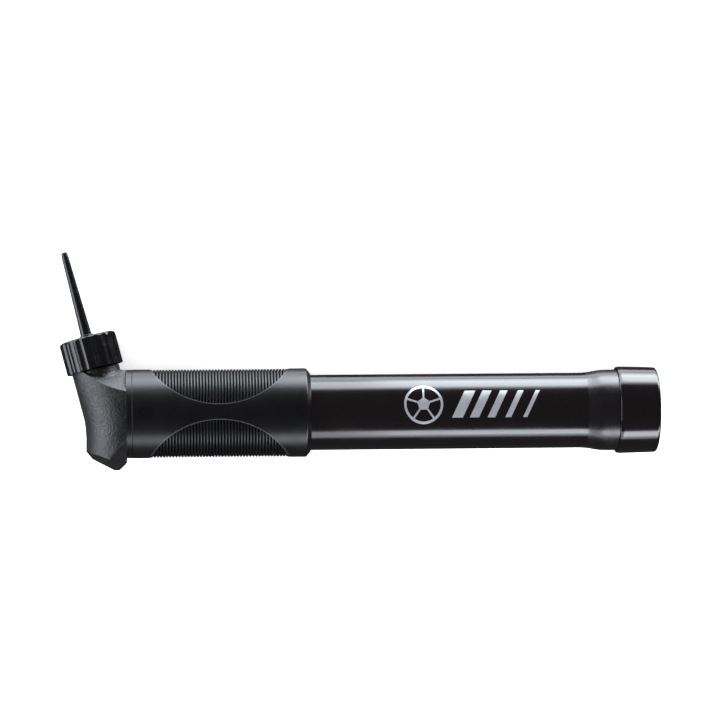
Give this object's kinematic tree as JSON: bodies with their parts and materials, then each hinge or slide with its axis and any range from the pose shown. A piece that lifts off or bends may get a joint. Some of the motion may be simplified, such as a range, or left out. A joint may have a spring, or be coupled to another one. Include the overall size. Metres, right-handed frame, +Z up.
{
  "type": "ball inflation pump",
  "caption": "Hand-held double-action ball pump: ribbed grip with angled head, needle under a fluted nut, sliding barrel with flared end and cap.",
  "frame": {"origin": "middle of the bounding box on the surface that the pump lies on", "axes": "+X along the barrel towards the end cap, +Y to the side that the needle points to, +Z up"},
  "size_m": [0.198, 0.0726, 0.0309],
  "materials": {
    "head_plastic": "spark-eroded matt black plastic",
    "grip_plastic": "satin black plastic with fine ribs",
    "barrel_plastic": "polished black plastic tube",
    "cap_plastic": "polished black moulded plastic",
    "nut_plastic": "glossy black moulded plastic with flutes",
    "needle_plastic": "glossy black moulded plastic",
    "rod_aluminium": "drawn and clear anodised",
    "screw_steel": "zinc plated",
    "seal_rubber": "moulded nitrile rubber",
    "inner_plastic": "natural acetal",
    "print_silver": "silver pad-printed ink"
  },
  "bodies": {
    "handle": {"pump_head": "head_plastic", "grip_sleeve": "grip_plastic", "piston_rod": "rod_aluminium", "head_rod_o_ring": "seal_rubber", "closing_bumper": "seal_rubber", "opening_bumper": "seal_rubber", "piston_body": "inner_plastic", "piston_guide_ring": "inner_plastic", "piston_cup_seal": "seal_rubber", "seal_retainer": "screw_steel", "piston_screw": "screw_steel"},
    "rod_seal": {"rod_seal_ring": "seal_rubber"},
    "barrel": {"barrel_tube": "barrel_plastic", "end_cap": "cap_plastic", "end_plug": "inner_plastic", "end_plug_o_ring": "seal_rubber", "inlet_flap_valve": "seal_rubber", "rod_gland": "inner_plastic", "gland_o_ring": "seal_rubber"},
    "needle": {"needle": "needle_plastic", "needle_washer": "seal_rubber"},
    "nut": {"needle_nut": "nut_plastic"}
  },
  "joints": [
    {"name": "barrel_slide", "type": "slide", "parent": "handle", "child": "rod_seal", "axis": [1, 0, 0], "range_m": [0, 0.117]},
    {"name": "barrel_spin", "type": "hinge", "parent": "rod_seal", "child": "barrel", "pos_m": [-0.07556, -0.01621, 0.01472], "axis": [1, 0, 0], "continuous": true},
    {"name": "needle_lift", "type": "slide", "parent": "handle", "child": "needle", "axis": [-0.2538, 0.943, -0.2153], "range_m": [0, 0.005]},
    {"name": "nut_turn", "type": "hinge", "parent": "needle", "child": "nut", "pos_m": [-0.08341, -0.01621, 0.01472], "axis": [-0.2538, 0.943, -0.2153], "range_deg": [0, 720]}
  ],
  "couplings": [
    {"joint": "needle_lift", "follows": "nut_turn", "m_per_rad": 0.00039788}
  ]
}
